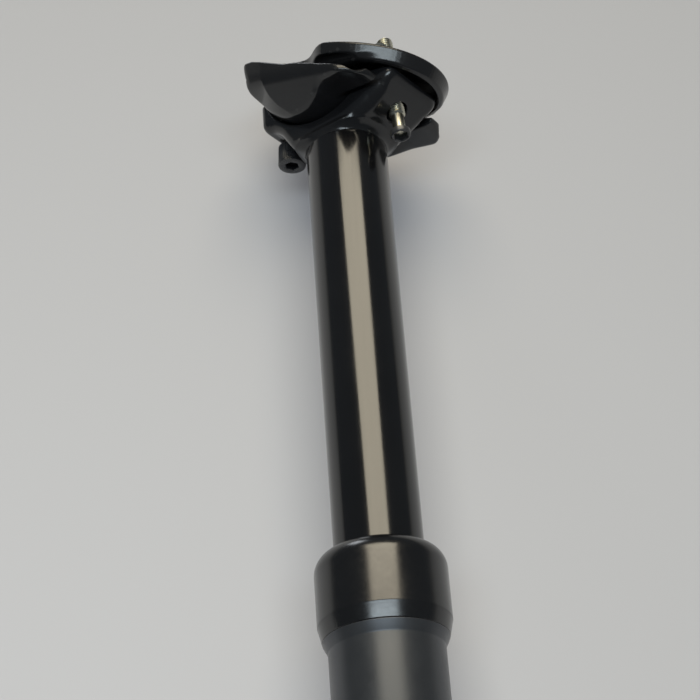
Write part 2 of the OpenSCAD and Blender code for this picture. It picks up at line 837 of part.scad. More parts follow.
module rear_nut() {
    color("silver") on_rear_bolt() translate([0, 0, nut_rear]) barrel_nut();
}

outer_tube();
collar();
wiper_seal();
upper_bushing();
bushing_clip();
bottom_bumper();
base_cap();
lever_pin();
lever();
valve_pin();
rod_nut();
cartridge_rod();
main_piston();
main_piston_seal();
stanchion();
head();
top_bumper();
keys();
lower_bushing();
cartridge_body();
cartridge_gland();
rod_seal();
cartridge_clip();
floating_piston();
floating_seal();
lower_cradle();
upper_clamp();
front_bolt();
rear_bolt();
front_nut();
rear_nut();
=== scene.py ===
"""Looks of the dropper seatpost: rounded forgings, turned tubes, threaded bolts and their finishes."""
import itertools
import json
import math

import bpy
import numpy as np
from mathutils import Matrix, Vector


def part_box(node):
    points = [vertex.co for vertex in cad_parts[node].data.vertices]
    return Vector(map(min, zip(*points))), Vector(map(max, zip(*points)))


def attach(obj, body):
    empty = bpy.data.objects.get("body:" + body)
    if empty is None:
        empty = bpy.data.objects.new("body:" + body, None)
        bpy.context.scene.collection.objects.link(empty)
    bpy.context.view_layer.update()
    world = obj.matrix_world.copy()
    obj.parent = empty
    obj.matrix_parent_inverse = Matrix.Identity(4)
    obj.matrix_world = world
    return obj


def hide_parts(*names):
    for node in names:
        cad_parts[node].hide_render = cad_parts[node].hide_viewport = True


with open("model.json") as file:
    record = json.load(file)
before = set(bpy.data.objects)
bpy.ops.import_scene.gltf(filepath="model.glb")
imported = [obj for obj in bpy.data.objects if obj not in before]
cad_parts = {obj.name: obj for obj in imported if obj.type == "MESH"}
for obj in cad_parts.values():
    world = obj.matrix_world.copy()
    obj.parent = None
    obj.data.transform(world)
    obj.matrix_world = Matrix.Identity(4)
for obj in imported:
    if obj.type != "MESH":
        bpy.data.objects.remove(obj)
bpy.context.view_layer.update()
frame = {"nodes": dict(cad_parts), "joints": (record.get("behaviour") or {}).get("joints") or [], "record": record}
nodes = frame["nodes"]
joints = {joint["name"]: joint for joint in frame["joints"]}
mounts = {mount["name"]: mount for mount in frame["record"]["mounts"]}

# Sizes in millimetres, read from the frame where it holds them
MM = 0.001


def low(node, axis):
    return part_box(node)[0][axis] / MM


def high(node, axis):
    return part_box(node)[1][axis] / MM


STANCHION_R = high("stanchion", 0)
STANCHION_TOP = high("stanchion", 2)
STANCHION_FOOT = low("stanchion", 2)
STANCHION_WALL = 1.6
TUBE_R = mounts["seat_tube"]["dims"]["r_mm"]
TUBE_WALL = 1.8
TUBE_BOTTOM = low("outer_tube", 2)
NECK_TOP = high("outer_tube", 2)
FLARE_R = high("outer_tube", 0)
COLLAR_R = high("collar", 0)
COLLAR_BOTTOM = low("collar", 2)
COLLAR_TOP = high("collar", 2)
PIVOT_Z = joints["clamp_tilt"]["pos_m"][2] / MM
CLAMP_TILT = math.radians(18.5)
HEAD_HALF = high("head", 1)
EAR_FRONT = high("head", 0)
EAR_REAR = -low("head", 0)
SADDLE_R = 21.6
ROCKER_R = 21.3
BOLT_R = 2.5
BOLT_PITCH = 0.8
BOLT_PLAY = 0.7
THREAD_DEPTH = 0.42
WAIST_R = 1.95
SOCKET_FLATS = 4.0
SOCKET_DEPTH = 2.0
BOLT_LEAN = math.radians(4.1)
BOLT_FRONT_X = 18.3
BOLT_REAR_X = -20.0
REAR_SEAT = -16.0
REAR_SEAT_R = 5.1
RAIL_R = mounts["rail_left"]["dims"]["r_mm"]
RAIL_V = mounts["rail_left"]["pos_m"][1] / MM
RAIL_W = -9.2
CRADLE_HALF = high("lower_cradle", 1)
NUT_R = 4.0
NUT_LEN = 12.0
NUT_RISE = 2.5

# Fineness of the meshes
NET_STEP = 0.4
TURN_COLUMNS = 160
BOLT_COLUMNS = 96
# Share of a side that the rounding of one corner may take
CORNER_SHARE = 0.45


# Shapes given by a field that is negative inside the solid
def round_max(a, b, r):
    """Where both solids are, with the edge between them rounded."""
    return np.minimum(-r, np.maximum(a, b)) + np.hypot(np.maximum(a + r, 0), np.maximum(b + r, 0))


def soft_max(a, b, k):
    """Where both solids are, with a blunt edge between them blended over a width."""
    share = np.maximum(k - np.abs(a - b), 0) / k
    return np.maximum(a, b) + share ** 2 * k / 4


def round_min(a, b, r):
    """Both solids together, with a fillet between them."""
    return -round_max(-a, -b, r)


def cut(solid, tool, r):
    """The solid without the tool, with the edge between them rounded."""
    return round_max(solid, -tool, r)


def polygon(x, y, points):
    """Distance to a closed outline, negative inside."""
    nearest = np.full(np.shape(x), np.inf)
    sign = np.ones(np.shape(x))
    for (ax, ay), (bx, by) in zip(points, points[1:] + points[:1]):
        ex, ey = bx - ax, by - ay
        wx, wy = x - ax, y - ay
        share = np.clip((wx * ex + wy * ey) / (ex * ex + ey * ey), 0, 1)
        nearest = np.minimum(nearest, np.hypot(wx - share * ex, wy - share * ey))
        above, below = y >= ay, y < by
        left = ex * wy > ey * wx
        crosses = (above & below & left) | (~above & ~below & ~left)
        sign = np.where(crosses, -sign, sign)
    return sign * nearest


def round_corners(points, radius, steps=5):
    """The same closed outline with each corner turned into a short curve."""
    made = []
    count = len(points)
    for i, corner in enumerate(points):
        corner = np.array(corner, float)
        to_last = np.array(points[i - 1], float) - corner
        to_next = np.array(points[(i + 1) % count], float) - corner
        last_len = np.linalg.norm(to_last)
        next_len = np.linalg.norm(to_next)
        reach = min(radius, CORNER_SHARE * last_len, CORNER_SHARE * next_len)
        start = corner + to_last / last_len * reach
        end = corner + to_next / next_len * reach
        for t in np.linspace(0, 1, steps):
            made.append(tuple((1 - t) ** 2 * start + 2 * t * (1 - t) * corner + t * t * end))
    return made


def along_bolt(x, z, bolt_x, lean):
    """Places across and along a leaning bolt, from its point at the height of the tilt axis."""
    across = (x - bolt_x) * math.cos(lean) + (z - PIVOT_Z) * math.sin(lean)
    along = (z - PIVOT_Z) * math.cos(lean) - (x - bolt_x) * math.sin(lean)
    return across, along


CORNERS = list(itertools.product((0, 1), repeat=3))
EDGES = [(a, b) for a, b in itertools.combinations(CORNERS, 2) if sum(np.abs(np.subtract(a, b))) == 1]


def net(field, box_low, box_high, step):
    """A quad mesh on the zero level of a field: vertices, normals and faces."""
    axes = [np.arange(a, b + step, step) for a, b in zip(box_low, box_high)]
    value = field(*np.meshgrid(*axes, indexing="ij"))
    inside = value < 0
    cells = tuple(n - 1 for n in value.shape)

    def corner(array, offset):
        return array[tuple(slice(o, o + n) for o, n in zip(offset, cells))]

    counts = sum(corner(inside, o).astype(int) for o in CORNERS)
    mixed = (counts > 0) & (counts < len(CORNERS))
    index = np.full(cells, -1)
    index[mixed] = np.arange(mixed.sum())
    total = np.zeros((mixed.sum(), 3))
    hits = np.zeros(mixed.sum())
    for a, b in EDGES:
        va, vb = corner(value, a)[mixed], corner(value, b)[mixed]
        crossed = (va < 0) != (vb < 0)
        share = np.where(crossed, va / np.where(crossed, va - vb, 1), 0)
        point = np.array(a) + share[:, None] * (np.array(b) - np.array(a))
        total += point * crossed[:, None]
        hits += crossed
    base = np.argwhere(mixed)
    points = np.array(box_low) + (base + total / hits[:, None]) * step
    faces = []
    for axis in range(3):
        order = (axis, (axis + 1) % 3, (axis + 2) % 3)
        solid = np.transpose(inside, order)
        cell = np.transpose(index, order)
        here, there = solid[:-1, 1:-1, 1:-1], solid[1:, 1:-1, 1:-1]
        i, j, k = np.nonzero(here != there)
        quads = np.stack([cell[i, j, k], cell[i, j + 1, k], cell[i, j + 1, k + 1], cell[i, j, k + 1]], 1)
        outward = here[i, j, k]
        faces.append(np.where(outward[:, None], quads, quads[:, ::-1]))
    points, normals = settle(field, points, step)
    return points, normals, np.concatenate(faces)


SETTLE_ROUNDS = 4
# Shares of a mesh step: where slopes are read while points move and at the end, and the longest move
SLOPE_REACH = 0.1
NORMAL_REACH = 0.3
LONGEST_MOVE = 0.4


def slope(field, points, reach):
    """The field's gradient at each point."""
    made = np.zeros_like(points)
    for axis in range(3):
        shift = np.zeros(3)
        shift[axis] = reach
        made[:, axis] = (field(*(points + shift).T) - field(*(points - shift).T)) / (2 * reach)
    return made


def settle(field, points, step):
    """Points drawn onto the zero level, and the normals there."""
    for _ in range(SETTLE_ROUNDS):
        steep = slope(field, points, step * SLOPE_REACH)
        size = np.maximum((steep ** 2).sum(1), 0.05)
        move = -(field(*points.T) / size)[:, None] * steep
        far = np.maximum(np.linalg.norm(move, axis=1) / (LONGEST_MOVE * step), 1)
        points = points + move / far[:, None]
    steep = slope(field, points, step * NORMAL_REACH)
    return points, steep / np.maximum(np.linalg.norm(steep, axis=1), 1e-9)[:, None]


# Placing finished meshes
def clamp_place(points):
    """From the clamp's own frame to the part's."""
    u, v, w = points.T
    x = u * math.cos(CLAMP_TILT) + w * math.sin(CLAMP_TILT)
    z = -u * math.sin(CLAMP_TILT) + w * math.cos(CLAMP_TILT)
    return np.stack([x, v, z], 1)


def piece(name, points, faces, body, material, normals=None, sharp_deg=None, replaces=()):
    """A named mesh in metres that rides on a body."""
    mesh = bpy.data.meshes.new(name)
    mesh.from_pydata((np.asarray(points) * MM).tolist(), [], np.asarray(faces).tolist())
    mesh.update()
    mesh.polygons.foreach_set("use_smooth", [True] * len(mesh.polygons))
    if sharp_deg is not None:
        mesh.set_sharp_from_angle(angle=math.radians(sharp_deg))
    if normals is not None:
        mesh.normals_split_custom_set_from_vertices(normals.tolist())
    mesh.materials.append(material)
    made = bpy.data.objects.new(name, mesh)
    bpy.context.scene.collection.objects.link(made)
    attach(made, body)
    if replaces:
        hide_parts(*replaces)
    return made


def forging(name, field, box_low, box_high, body, material, in_clamp=False, replaces=()):
    """A piece made from a field, in the part's frame or in the clamp's; the box holds the whole piece."""
    points, normals, faces = net(field, box_low, box_high, NET_STEP)
    if in_clamp:
        points = clamp_place(points) + np.array([0, 0, PIVOT_Z])
        normals = clamp_place(normals)
    return piece(name, points, faces, body, material, normals, replaces=replaces)


def loft(rings, columns, close):
    """Points and faces through rings, each a height and a radius, or a function of angle and height."""
    turn = np.arange(columns) * 2 * math.pi / columns
    points = []
    for z, radius in rings:
        r = radius(turn, z) if callable(radius) else np.full(columns, float(radius))
        points.append(np.stack([r * np.cos(turn), r * np.sin(turn), np.full(columns, float(z))], 1))
    count = len(rings)
    faces = []
    for i in range(count if close else count - 1):
        j = (i + 1) % count
        for c in range(columns):
            d = (c + 1) % columns
            faces.append((i * columns + c, i * columns + d, j * columns + d, j * columns + c))
    return np.concatenate(points), faces


def turned(name, profile, body, material, edge=0.25, replaces=()):
    """A lathe piece from a closed outline of (radius, height) that runs up its outside."""
    rings = [(z, r) for r, z in round_corners(profile, edge)]
    points, faces = loft(rings, TURN_COLUMNS, True)
    return piece(name, points, faces, body, material, sharp_deg=40, replaces=replaces)


# Node materials
NOISE_ROUGH = 0.55
# Pointiness at which an edge starts to look worn and is fully worn
WORN_START = 0.53
WORN_END = 0.58


class Nodes:
    """A material's node tree with short calls for what the finishes need."""

    def __init__(self, name):
        self.material = bpy.data.materials.new(name)
        self.material.use_nodes = True
        self.tree = self.material.node_tree
        self.shader = self.tree.nodes["Principled BSDF"]
        self.place = self.tree.nodes.new("ShaderNodeTexCoord").outputs["Object"]

    def add(self, kind, values=(), links=(), **settings):
        made = self.tree.nodes.new("ShaderNode" + kind)
        for key, value in settings.items():
            setattr(made, key, value)
        for key, value in dict(values).items():
            made.inputs[key].default_value = value
        for key, source in dict(links).items():
            self.tree.links.new(source, made.inputs[key])
        return made

    def noise(self, scale, detail, stretch=(1, 1, 1)):
        place = self.add("Mapping", {"Scale": stretch}, {"Vector": self.place}).outputs[0]
        values = {"Scale": scale, "Detail": detail, "Roughness": NOISE_ROUGH}
        return self.add("TexNoise", values, {"Vector": place}).outputs["Fac"]

    def ramp(self, source, start, end, first, last):
        values = {"From Min": start, "From Max": end, "To Min": first, "To Max": last}
        return self.add("MapRange", values, {"Value": source}).outputs[0]

    def mix(self, share, first, last):
        made = self.add("Mix", data_type="RGBA")
        for key, value in ((0, share), (6, first), (7, last)):
            if isinstance(value, bpy.types.NodeSocket):
                self.tree.links.new(value, made.inputs[key])
            else:
                made.inputs[key].default_value = (*value, 1) if key else value
        return made.outputs[2]

    def bump(self, source, distance, strength):
        values = {"Distance": distance, "Strength": strength}
        return self.add("Bump", values, {"Height": source}).outputs[0]

    def edges(self):
        """Near one on worn convex edges."""
        return self.ramp(self.add("NewGeometry").outputs["Pointiness"], WORN_START, WORN_END, 0, 1)

    def shades(self, source, start, end, colour, dark, light):
        """A colour that runs from a darker to a lighter shade of itself with the source."""
        darker = tuple(c * dark for c in colour)
        lighter = tuple(c * light for c in colour)
        return self.mix(self.ramp(source, start, end, 0, 1), darker, lighter)

    def set(self, **values):
        for key, value in values.items():
            socket = self.shader.inputs[key.replace("_", " ")]
            if isinstance(value, bpy.types.NodeSocket):
                self.tree.links.new(value, socket)
            else:
                socket.default_value = (*value, 1) if isinstance(value, tuple) else value
        return self.material


def anodised(name, colour, worn, rough, grain, spec, streak=(1, 1, 1), tint=(1.0, 1.0, 1.0)):
    """Anodised metal: fine grain, handling smears, hairlines along the piece and worn edges."""
    n = Nodes(name)
    smear = n.noise(60, detail=5)
    hair = n.noise(900, detail=2, stretch=streak)
    rub = n.add("Math", {1: 0.5}, {0: n.edges()}, operation="MULTIPLY").outputs[0]
    shade = n.shades(smear, 0.3, 0.75, colour, 0.85, 1.15)
    smeared = n.ramp(smear, 0.3, 0.7, rough * 0.85, rough * 1.15)
    scratched = n.ramp(hair, 0.35, 0.75, -0.02, 0.03)
    uneven = n.add("Math", links={0: smeared, 1: scratched}, operation="ADD").outputs[0]
    fine = n.bump(n.noise(2600, detail=2), grain, 0.5)
    return n.set(Base_Color=n.mix(rub, shade, worn), Roughness=uneven, Normal=fine,
                 Specular_IOR_Level=spec, Specular_Tint=tint)


def plated(name, colour, rough):
    """Plated or turned metal with a fine tooled grain and dull patches."""
    n = Nodes(name)
    dull = n.noise(120, detail=4)
    tone = n.shades(dull, 0.35, 0.7, colour, 0.8, 1.0)
    uneven = n.ramp(dull, 0.3, 0.7, rough * 0.75, rough * 1.3)
    fine = n.bump(n.noise(700, detail=3), 0.00003, 0.4)
    return n.set(Base_Color=tone, Metallic=1.0, Roughness=uneven, Normal=fine)


def moulded(name, colour, rough):
    """Rubber or polymer with a faint skin texture."""
    n = Nodes(name)
    cloud = n.noise(200, detail=4)
    tone = n.shades(cloud, 0.3, 0.7, colour, 0.7, 1.2)
    uneven = n.ramp(cloud, 0.3, 0.7, rough * 0.9, min(1, rough * 1.1))
    fine = n.bump(n.noise(1800, detail=3), 0.00004, 0.5)
    return n.set(Base_Color=tone, Roughness=uneven, Normal=fine)


ALONG = (1, 1, 0.02)
COOL = (0.88, 0.92, 1.0)
DEEP_BLACK = (0.004, 0.004, 0.0045)
FINISHES = {
    "tube_grey": anodised("tube_grey", (0.022, 0.023, 0.025), worn=(0.10, 0.10, 0.105),
                          rough=0.36, grain=0.00003, spec=0.9, tint=COOL),
    "gloss_black": anodised("gloss_black", DEEP_BLACK, worn=(0.02, 0.02, 0.02),
                            rough=0.15, grain=0.000004, spec=0.7, streak=ALONG),
    "collar_black": anodised("collar_black", DEEP_BLACK, worn=(0.03, 0.03, 0.03),
                             rough=0.22, grain=0.000006, spec=0.75),
    "forged_black": anodised("forged_black", (0.011, 0.011, 0.012), worn=(0.035, 0.035, 0.035),
                             rough=0.2, grain=0.000006, spec=0.5),
    "bare_alloy": plated("bare_alloy", (0.50, 0.50, 0.51), 0.34),
    "steel": plated("steel", (0.62, 0.60, 0.50), 0.28),
    "black_steel": anodised("black_steel", (0.014, 0.014, 0.016), worn=(0.10, 0.10, 0.10),
                            rough=0.30, grain=0.00001, spec=0.7),
    "rod_steel": plated("rod_steel", (0.62, 0.62, 0.64), 0.12),
    "brass": plated("brass", (0.62, 0.44, 0.17), 0.30),
    "rubber": moulded("rubber", (0.014, 0.014, 0.014), 0.62),
    "seal": moulded("seal", (0.020, 0.020, 0.020), 0.50),
    "bushing": moulded("bushing", (0.30, 0.22, 0.11), 0.55),
}


# CAD nodes that show as they are keep their shape and take a finish
def dress_nodes():
    for entry in frame["record"]["subparts"]:
        shown = nodes[entry["node"]]
        shown.data.materials.clear()
        shown.data.materials.append(FINISHES[entry["material_slot"]])


# Turned pieces
def make_tubes():
    inner = TUBE_R - TUBE_WALL
    neck_bore = inner + 0.3
    neck_bore_foot = -13.8
    neck_r = TUBE_R + 0.2
    neck_foot = COLLAR_BOTTOM - 0.05
    turned("outer_tube_turned", [
        (inner, TUBE_BOTTOM), (TUBE_R, TUBE_BOTTOM), (TUBE_R, 0), (FLARE_R, neck_foot), (neck_r, neck_foot),
        (neck_r, NECK_TOP), (neck_bore, NECK_TOP), (neck_bore, neck_bore_foot), (inner, neck_bore_foot)
    ], "outer", FINISHES["tube_grey"], replaces=("outer_tube",))
    bore = STANCHION_R - STANCHION_WALL
    foot_r = STANCHION_R - 0.3
    foot_top = -31.25
    turned("stanchion_turned", [
        (bore, STANCHION_FOOT), (foot_r, STANCHION_FOOT), (foot_r, foot_top),
        (STANCHION_R, foot_top), (STANCHION_R, STANCHION_TOP), (bore, STANCHION_TOP)
    ], "post", FINISHES["gloss_black"], edge=0.15, replaces=("stanchion",))


def make_collar():
    lip = STANCHION_R + 0.8
    lip_foot = COLLAR_TOP - 1.5
    bore = TUBE_R + 0.25
    thread_top = NECK_TOP + 0.05
    inside = bore - 0.35
    inside_top = COLLAR_TOP - 3.2
    chamfer_top = COLLAR_BOTTOM + 4
    shoulder = 5.5
    round_w = COLLAR_R - lip - 0.5
    arc = [(COLLAR_R - round_w * (1 - math.cos(a)), COLLAR_TOP - shoulder * (1 - math.sin(a)))
           for a in np.radians(np.arange(0, 91, 6))]
    turned("collar_turned", [
        (bore, COLLAR_BOTTOM), (FLARE_R, COLLAR_BOTTOM), (COLLAR_R - 0.15, chamfer_top),
        (COLLAR_R, chamfer_top + 0.4), *arc, (lip, COLLAR_TOP), (lip, lip_foot), (inside, inside_top),
        (inside, thread_top), (bore, thread_top)
    ], "outer", FINISHES["collar_black"], replaces=("collar",))


# Forged pieces
HEAD_FILLET = 2.2
# Rounding of the head's lower edges at places from the rear ear to the front one
HEAD_SOFT_X = (-20, 4, 18, 23, 27.5)
HEAD_SOFT_R = (3.0, 4.5, 5.0, 4.0, 1.2)


def head_under():
    """The head's underside from the rear ear to the front one, closed well above the head."""
    neck = STANCHION_TOP
    return round_corners([
        (-9, neck + 0.6), (9, neck + 0.6), (16.5, neck + 3.3), (22, neck + 6.2), (EAR_FRONT, neck + 11.4),
        (EAR_FRONT, neck + 60), (-EAR_REAR, neck + 60),
        (-EAR_REAR, neck + 14.4), (-20, neck + 13), (-17, neck + 10), (-14.6, neck + 5.4),
        (-12.6, neck + 2.2)
    ], 3.0)


def head_top():
    """The head's upper bound, closed well below and beside the head."""
    neck = STANCHION_TOP
    return [(-60, neck - 40), (60, neck - 40), (60, neck + 12.4), (EAR_FRONT, neck + 12.4), (19, neck + 15),
            (-15, neck + 23.4), (-60, neck + 23.4)]


def head_plan():
    return round_corners([
        (EAR_FRONT, HEAD_HALF), (-EAR_REAR, HEAD_HALF), (-EAR_REAR, -HEAD_HALF), (EAR_FRONT, -HEAD_HALF)
    ], 4.5, 9)


HEAD_UNDER = head_under()
HEAD_TOP = head_top()
HEAD_PLAN = head_plan()


def head_field(x, y, z):
    neck = STANCHION_TOP
    soft = np.interp(x, HEAD_SOFT_X, HEAD_SOFT_R)
    solid = round_max(polygon(x, z, HEAD_UNDER), polygon(x, y, HEAD_PLAN), soft)
    solid = round_max(solid, polygon(x, z, HEAD_TOP), 0.8)
    rise = np.clip(z - neck, 0, HEAD_FILLET)
    flare = np.hypot(x, y) - STANCHION_R - HEAD_FILLET + np.sqrt(HEAD_FILLET ** 2 - rise ** 2)
    flare = np.maximum(flare, np.abs(y) - STANCHION_R)
    flare = np.maximum(flare, z - neck - HEAD_FILLET)
    solid = np.maximum(round_min(solid, flare, 2.0), neck - z)
    solid = cut(solid, np.hypot(x, z - PIVOT_Z) - SADDLE_R, 1.2)
    front, _ = along_bolt(x, z, BOLT_FRONT_X, BOLT_LEAN)
    rear, rear_along = along_bolt(x, z, BOLT_REAR_X, -BOLT_LEAN)
    for across in (front, rear):
        solid = cut(solid, np.hypot(across, y) - BOLT_R - BOLT_PLAY, 0.4)
    seat = np.maximum(np.hypot(rear, y) - REAR_SEAT_R, rear_along - REAR_SEAT)
    return cut(solid, seat, 0.6)


WING_FRONT = 28.5
WING_CORNER = 12.0
LIP_DROP = 12.4
SHIELD_FALL = 1.03
BARREL_END_W = 7.5
BARREL_END_DROP = 6.0
# Top of the lip outside each rail, from the back to the front
LIP_U = (-14, 1, 5.5, 17, 22)
LIP_W = (-4.8, -8.6, -8.9, -11.2, -11.8)
SLOT_HALF = BOLT_R + 0.9
SLOT_FRONT = 15.3
SLOT_REAR = -10.9
WING_SIDE = round_corners([
    (-6, 0), (-6, -15.5), (12, -15.5), (20.2, -14.5), (26, -13.4), (WING_FRONT, -12.4), (WING_FRONT, 0)
], 2.0)


# Where the slanted face ends at the back and gives way to a bevel
SHIELD_EDGE = round_corners([
    (-9.8, 2), (-9.2, -5.6), (-7.9, -11.8), (-6.6, -16.3), (-4.4, -18.7), (0.2, -21.5), (8, -24),
    (40, -24), (40, 2)
], 2.0)
# How fast the bevel falls away, below the rail groove and beside it
BEVEL_W = (-15, -12.5)
BEVEL_FALL = (0.65, 0.13)


def cradle_field(u, v, w):
    """Half moon and wings, with slanted outer faces, a falling lip outside each rail and a deck between."""
    side = np.abs(v)
    full = CRADLE_HALF - BARREL_END_W
    bulge = np.clip((side - full) / (CRADLE_HALF - full), 0, 1)
    radius = ROCKER_R - BARREL_END_DROP * (1 - np.sqrt(np.maximum(1 - bulge ** 2, 0)))
    wing_plan = round_max(u - WING_FRONT, side - CRADLE_HALF, WING_CORNER)
    wing_plan = np.maximum(wing_plan, HEAD_HALF + 1.6 - side)
    wings = round_max(polygon(u, w, WING_SIDE), wing_plan, 0.8)
    solid = round_min(np.hypot(u, w) - radius, wings, 1.5)
    shield = (side - CRADLE_HALF - SHIELD_FALL * (w + LIP_DROP)) / math.hypot(1, SHIELD_FALL)
    outer = soft_max(side - CRADLE_HALF, shield, 2.0)
    past_edge = np.maximum(polygon(u, w, SHIELD_EDGE), 0)
    outer = outer + past_edge * np.interp(w, BEVEL_W, BEVEL_FALL)
    solid = soft_max(solid, outer, 0.8)
    deck = np.interp(u, (12, WING_FRONT), (RAIL_W - 0.3, RAIL_W - 1.6))
    solid = cut(solid, np.maximum(deck - w, side - RAIL_V), 0.5)
    lip = np.interp(u, LIP_U, LIP_W)
    solid = cut(solid, np.maximum(lip - w, RAIL_V - side), 0.5)
    beside = np.abs(side - RAIL_V)
    groove = np.where(w < RAIL_W, np.hypot(beside, w - RAIL_W), beside) - RAIL_R
    solid = cut(solid, groove, 0.4)
    solid = cut(solid, np.maximum(SLOT_FRONT - u, side - SLOT_HALF), 0.5)
    return cut(solid, np.maximum(u - SLOT_REAR, side - SLOT_HALF), 0.5)


VISOR_REACH = 33.5
VISOR_HALF = 25.75
VISOR_AHEAD = 5.5
VISOR_JOIN = 8.5
TAIL_REACH = 28.0
TAIL_HALF = 17.9
TAIL_POWER = 2.8
WAIST_U = -1.0
RIM_BOTTOM = RAIL_W + 2.1
RIM_TOP = RIM_BOTTOM + 4.9
RIM_DRAFT = 0.27
STEP_TOP = RIM_TOP + 1
STEP_INSET = 2.5
CROWN_TOP = NUT_RISE - 2.4
CROWN_INSET = 5.0
CEILING = RIM_BOTTOM + 3.4
POCKET_WALL = 3.2
POCKET_HALF = 17.0
# The rail grooves widen towards the front of the visor
MOUTH_START = 24
MOUTH_LEN = 10
MOUTH_FLARE = 0.45
# Where each barrel nut sits along the clamp, and how far its bolt's slot is from there
NUT_SEATS = ((18.61, 2.4), (-21.2, -1.0))


def clamp_outline():
    """The upper clamp from above: an oval visor that runs into a squarer tail."""
    start = math.acos(VISOR_JOIN / VISOR_REACH)
    join_u = VISOR_AHEAD + VISOR_JOIN
    join_v = VISOR_HALF * math.sin(start)
    visor = [(VISOR_AHEAD + VISOR_REACH * math.cos(a), VISOR_HALF * math.sin(a))
             for a in np.linspace(0, start, 25)]
    waist = [(join_u + (WAIST_U - join_u) * t,
              TAIL_HALF + (join_v - TAIL_HALF) * (1 + math.cos(math.pi * t)) / 2)
             for t in np.linspace(0, 1, 13)[1:]]
    tail = [(WAIST_U - (TAIL_REACH + WAIST_U) * math.sin(a),
             TAIL_HALF * (1 - math.sin(a) ** TAIL_POWER) ** (1 / TAIL_POWER))
            for a in np.linspace(0, math.pi / 2, 19)[1:]]
    half = visor + waist + tail
    return half + [(u, -v) for u, v in half[-2:0:-1]]


CLAMP_OUTLINE = clamp_outline()


def clamp_field(u, v, w):
    """Drafted rim, a step and a crown over it, with a pocket below, rail grooves and nut seats."""
    edge = polygon(u, v, CLAMP_OUTLINE)
    side = (edge + RIM_DRAFT * (RIM_TOP - w)) / math.hypot(1, RIM_DRAFT)
    solid = round_max(round_max(side, RIM_BOTTOM - w, 0.7), w - RIM_TOP, 0.9)
    step = round_max(edge + STEP_INSET, np.maximum(RIM_BOTTOM - w, w - STEP_TOP), 0.8)
    solid = round_min(solid, step, 0.8)
    crown = round_max(edge + CROWN_INSET, np.maximum(RIM_BOTTOM - w, w - CROWN_TOP), 1.2)
    solid = round_min(solid, crown, 1.5)
    pocket = np.maximum(round_max(edge + POCKET_WALL, np.abs(v) - POCKET_HALF, 2.0), w - CEILING)
    solid = cut(solid, pocket, 0.7)
    mouth = np.clip(u - MOUTH_START, 0, MOUTH_LEN) * MOUTH_FLARE
    solid = cut(solid, np.hypot(np.abs(v) - RAIL_V, w - RAIL_W) - RAIL_R - mouth, 0.6)
    for seat_u, shift in NUT_SEATS:
        seat = np.maximum(np.abs(u - seat_u) - NUT_R - 1.4, np.abs(v) - NUT_LEN / 2 - 0.5)
        solid = cut(solid, np.maximum(seat, NUT_RISE - NUT_R - 0.3 - w), 0.3)
        slot = np.maximum(np.abs(u - seat_u - shift - 0.3) - 5.3, np.abs(v) - BOLT_R - 0.6)
        solid = cut(solid, slot, 0.3)
    return solid


def make_forgings():
    black = FINISHES["forged_black"]
    margin = 1.0
    forging("head_forged", head_field, (-EAR_REAR - margin, -HEAD_HALF - margin, STANCHION_TOP - margin),
            (EAR_FRONT + margin, HEAD_HALF + margin, STANCHION_TOP + 25), "post", black,
            replaces=("head",))
    forging("lower_cradle_forged", cradle_field, (-23, -CRADLE_HALF - margin, -23),
            (30, CRADLE_HALF + margin, -3), "clamp", black,
            in_clamp=True, replaces=("lower_cradle",))
    forging("upper_clamp_forged", clamp_field, (-30, -27, -9), (41, 27, 3), "clamp", black,
            in_clamp=True, replaces=("upper_clamp",))


# Bolts
KNURL_DEPTH = 0.16
KNURL_WAVES = 24
# Radius of the last ring on a bolt's axis, which all but closes the end
TIP_R = 0.02


def hexagon(across_flats):
    def radius(turn, _):
        return across_flats / 2 / np.cos((turn % (math.pi / 3)) - math.pi / 6)
    return radius


def thread(turn, z):
    tooth = np.abs(((z / BOLT_PITCH - turn / (2 * math.pi)) % 1) - 0.5) * 2
    return BOLT_R - THREAD_DEPTH * np.clip(1.25 - 1.5 * tooth, 0, 1)


def knurl(r):
    def radius(turn, _):
        return r - KNURL_DEPTH * np.sin(KNURL_WAVES * turn) ** 2
    return radius


def bolt(node, bolt_x, lean, under, top, head_r, head_h, knurled, plain, head_slot, shank_slot):
    """A socket bolt along its leaning axis, threaded above its plain shank."""
    socket = hexagon(SOCKET_FLATS)
    side = knurl(head_r) if knurled else head_r
    foot = under - head_h
    deep = foot + SOCKET_DEPTH
    head = [(deep + 0.2, TIP_R), (deep, 1.0), (deep, socket), (foot + 0.25, socket), (foot, 2.55),
            (foot, head_r - 0.5), (foot + 0.15, head_r - 0.15), (foot + 0.5, side),
            (under - 0.25, side), (under, head_r - 0.25), (under, TIP_R)]
    shank = [(under - 0.3, TIP_R), (under - 0.3, BOLT_R), (under + 0.1, BOLT_R), (under + 0.6, WAIST_R),
             (under + plain - 0.5, WAIST_R), (under + plain, BOLT_R)]
    thread_top = top - 0.6
    rows = int((thread_top - under - plain) / BOLT_PITCH * 8)
    shank += [(z, thread) for z in np.linspace(under + plain + 0.1, thread_top, rows)]
    shank += [(top, BOLT_R - 0.6), (top, TIP_R)]
    for name, rings, slot in (("head", head, head_slot), ("shank", shank, shank_slot)):
        points, faces = loft(rings, BOLT_COLUMNS, False)
        x, y, z = points.T
        turned_x = x * math.cos(lean) - z * math.sin(lean) + bolt_x
        turned_z = x * math.sin(lean) + z * math.cos(lean) + PIVOT_Z
        piece(node + "_" + name, np.stack([turned_x, y, turned_z], 1), faces, "post", FINISHES[slot],
              sharp_deg=32, replaces=(node,))


